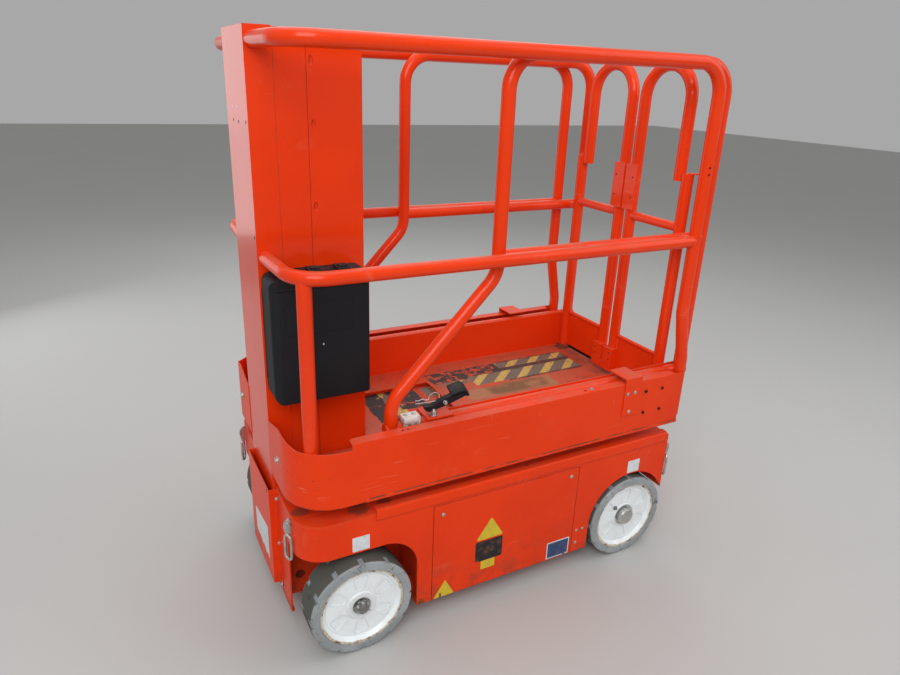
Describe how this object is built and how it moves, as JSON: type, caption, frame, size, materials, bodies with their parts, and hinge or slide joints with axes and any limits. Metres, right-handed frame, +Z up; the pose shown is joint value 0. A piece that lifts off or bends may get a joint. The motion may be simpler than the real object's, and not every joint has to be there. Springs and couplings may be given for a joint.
{
  "type": "self-propelled vertical mast personnel lift",
  "caption": "Compact self-propelled vertical mast lift with a telescoping mast, guard-railed platform, roll-out extension with saloon gates and a wheeled steerable base.",
  "frame": {"origin": "on the ground under the middle of the parked machine", "axes": "+X towards the gate end, -X towards the mast end, +Z up, -Y the near side in the picture"},
  "size_m": [1.396, 0.8, 1.655],
  "materials": {
    "tyre": "grey non-marking solid rubber",
    "rim_paint": "white paint with rust at the rim edge",
    "bare_steel": "worn bare steel",
    "orange_paint": "gloss orange-red paint with scuffs",
    "battery_case": "matte black case",
    "zinc": "zinc plated",
    "floor_paint": "worn orange-red paint",
    "nylon": "off-white nylon",
    "red_paint": "red paint",
    "black_plastic": "matte black plastic"
  },
  "bodies": {
    "base": {"chassis_frame": "orange_paint", "chassis_top": "orange_paint", "chassis_plates": "orange_paint", "edge_rails": "orange_paint", "front_pan": "orange_paint", "battery_block": "battery_case", "kingpin_brackets": "bare_steel", "rear_axle": "bare_steel", "tie_downs": "zinc", "mast_base": "orange_paint"},
    "door_near": {"side_door_near": "orange_paint"},
    "door_far": {"side_door_far": "orange_paint"},
    "knuckle_near": {"knuckle_near": "bare_steel"},
    "knuckle_far": {"knuckle_far": "bare_steel"},
    "steer_bar": {"steer_bar": "bare_steel"},
    "wheel_front_near": {"tyre_front_near": "tyre", "rim_front_near": "rim_paint"},
    "wheel_front_far": {"tyre_front_far": "tyre", "rim_front_far": "rim_paint"},
    "wheel_rear_near": {"tyre_rear_near": "tyre", "rim_rear_near": "rim_paint"},
    "wheel_rear_far": {"tyre_rear_far": "tyre", "rim_rear_far": "rim_paint"},
    "mast_middle": {"mast_middle": "bare_steel"},
    "mast_outer": {"mast_outer": "orange_paint"},
    "carriage": {"mast_carriage": "orange_paint", "platform_floor": "floor_paint", "platform_skirt": "orange_paint", "side_rail_near": "orange_paint", "side_rail_far": "orange_paint", "document_box": "black_plastic", "keeper_hooks": "orange_paint"},
    "extension": {"extension_deck": "floor_paint", "extension_frame_near": "orange_paint", "extension_frame_far": "orange_paint", "slide_shoes": "nylon", "lock_plate": "red_paint", "lock_lever": "black_plastic"},
    "gate_near": {"gate_near": "orange_paint", "toe_board_near": "orange_paint"},
    "gate_far": {"gate_far": "orange_paint", "toe_board_far": "orange_paint"}
  },
  "joints": [
    {"name": "mast_lift", "type": "slide", "parent": "base", "child": "mast_middle", "axis": [0, 0, 1], "range_m": [0, 1.02]},
    {"name": "mast_lift_outer", "type": "slide", "parent": "mast_middle", "child": "mast_outer", "axis": [0, 0, 1], "range_m": [0, 1.02]},
    {"name": "mast_lift_carriage", "type": "slide", "parent": "mast_outer", "child": "carriage", "axis": [0, 0, 1], "range_m": [0, 1.02]},
    {"name": "platform_extension", "type": "slide", "parent": "carriage", "child": "extension", "axis": [1, 0, 0], "range_m": [0, 0.49]},
    {"name": "gate_near_hinge", "type": "hinge", "parent": "extension", "child": "gate_near", "pos_m": [0.637, -0.2615, 0.9], "axis": [0, 0, 1], "range_deg": [0, 90]},
    {"name": "gate_far_hinge", "type": "hinge", "parent": "extension", "child": "gate_far", "pos_m": [0.637, 0.2615, 0.9], "axis": [0, 0, -1], "range_deg": [0, 90]},
    {"name": "steering", "type": "hinge", "parent": "base", "child": "knuckle_near", "pos_m": [-0.508, -0.314, 0.152], "axis": [0, 0, 1], "range_deg": [-40, 40]},
    {"name": "steering_far", "type": "hinge", "parent": "base", "child": "knuckle_far", "pos_m": [-0.508, 0.314, 0.152], "axis": [0, 0, 1], "range_deg": [-40, 40]},
    {"name": "steering_bar", "type": "slide", "parent": "base", "child": "steer_bar", "axis": [0, 1, 0], "range_m": [-0.0332, 0.0332]},
    {"name": "wheel_front_near_spin", "type": "hinge", "parent": "knuckle_near", "child": "wheel_front_near", "pos_m": [-0.508, -0.35, 0.152], "axis": [0, 1, 0], "continuous": true},
    {"name": "wheel_front_far_spin", "type": "hinge", "parent": "knuckle_far", "child": "wheel_front_far", "pos_m": [-0.508, 0.35, 0.152], "axis": [0, 1, 0], "continuous": true},
    {"name": "wheel_rear_near_spin", "type": "hinge", "parent": "base", "child": "wheel_rear_near", "pos_m": [0.471, -0.33, 0.152], "axis": [0, 1, 0], "continuous": true},
    {"name": "wheel_rear_far_spin", "type": "hinge", "parent": "base", "child": "wheel_rear_far", "pos_m": [0.471, 0.33, 0.152], "axis": [0, 1, 0], "continuous": true},
    {"name": "door_near_hinge", "type": "hinge", "parent": "base", "child": "door_near", "pos_m": [-0.016, -0.364, 0.079], "axis": [1, 0, 0], "range_deg": [0, 90]},
    {"name": "door_far_hinge", "type": "hinge", "parent": "base", "child": "door_far", "pos_m": [-0.016, 0.364, 0.079], "axis": [-1, 0, 0], "range_deg": [0, 90]}
  ],
  "couplings": [
    {"joint": "mast_lift_outer", "follows": "mast_lift", "ratio": 1},
    {"joint": "mast_lift_carriage", "follows": "mast_lift", "ratio": 1},
    {"joint": "steering_far", "follows": "steering", "ratio": 1},
    {"joint": "steering_bar", "follows": "steering", "m_per_rad": 0.046}
  ]
}
